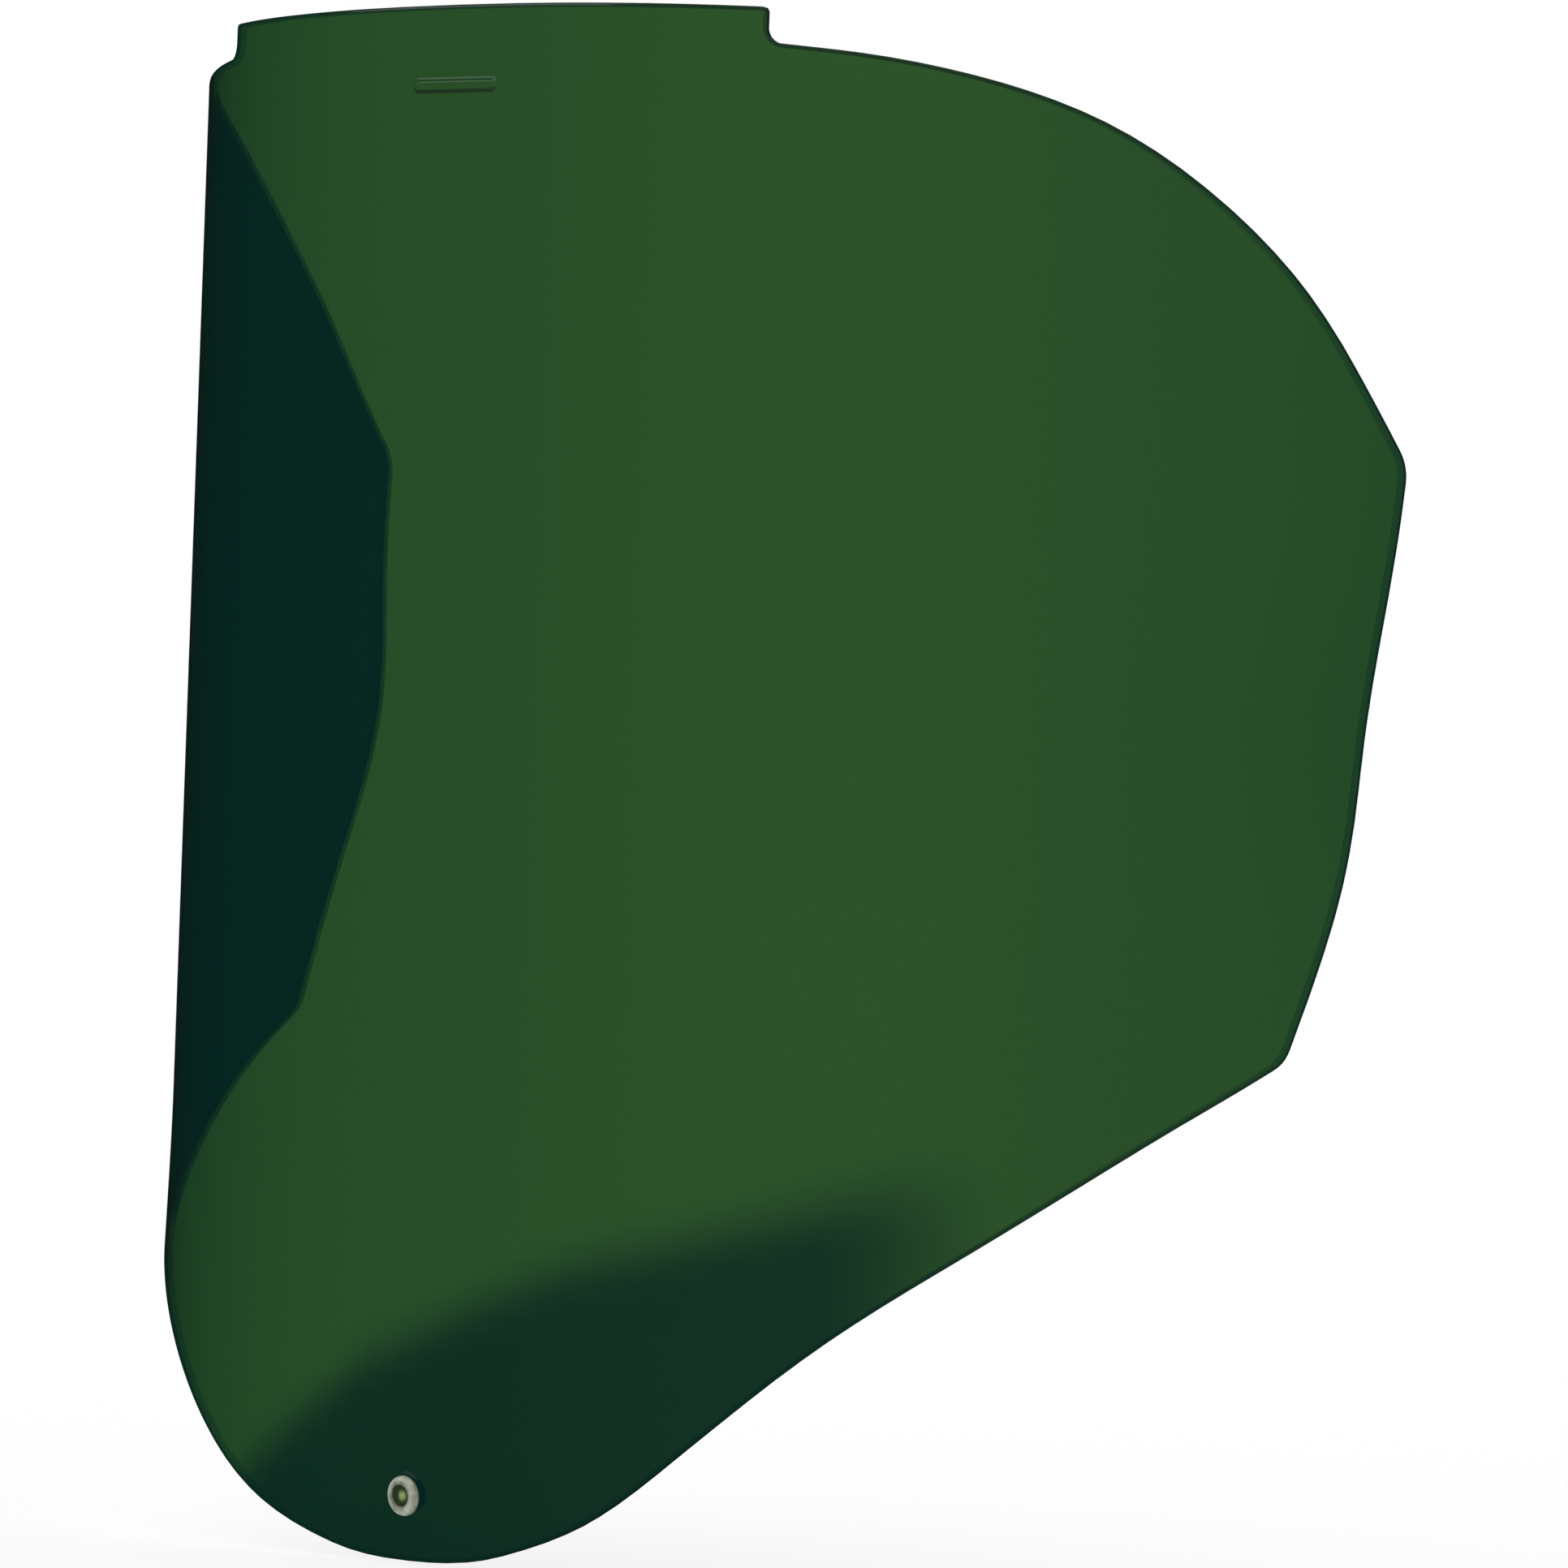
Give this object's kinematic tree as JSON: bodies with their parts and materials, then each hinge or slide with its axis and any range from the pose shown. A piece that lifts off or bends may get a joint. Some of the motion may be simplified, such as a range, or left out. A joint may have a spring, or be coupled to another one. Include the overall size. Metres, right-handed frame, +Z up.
{
  "type": "face shield visor",
  "caption": "Curved, tinted see-through visor of a face shield with a headgear tab along the top edge, a rounded chin and a small capped rivet at the chin.",
  "frame": {"origin": "middle of the headgear tab's top edge, on the inner face of the wall", "axes": "+Z up along the wall, which is straight that way except in the chin and the wings, -Y out of the front of the visor, away from the wearer, +X towards one wing; X = 0 is the symmetry plane"},
  "size_m": [0.2348, 0.1059, 0.2537],
  "materials": {
    "green_polycarbonate": "clear polished, dark green tint",
    "rivet_metal": "satin nickel"
  },
  "bodies": {
    "root": {"visor_shell": "green_polycarbonate", "chin_rivet": "rivet_metal", "chin_rivet_washer": "rivet_metal"}
  },
  "joints": []
}
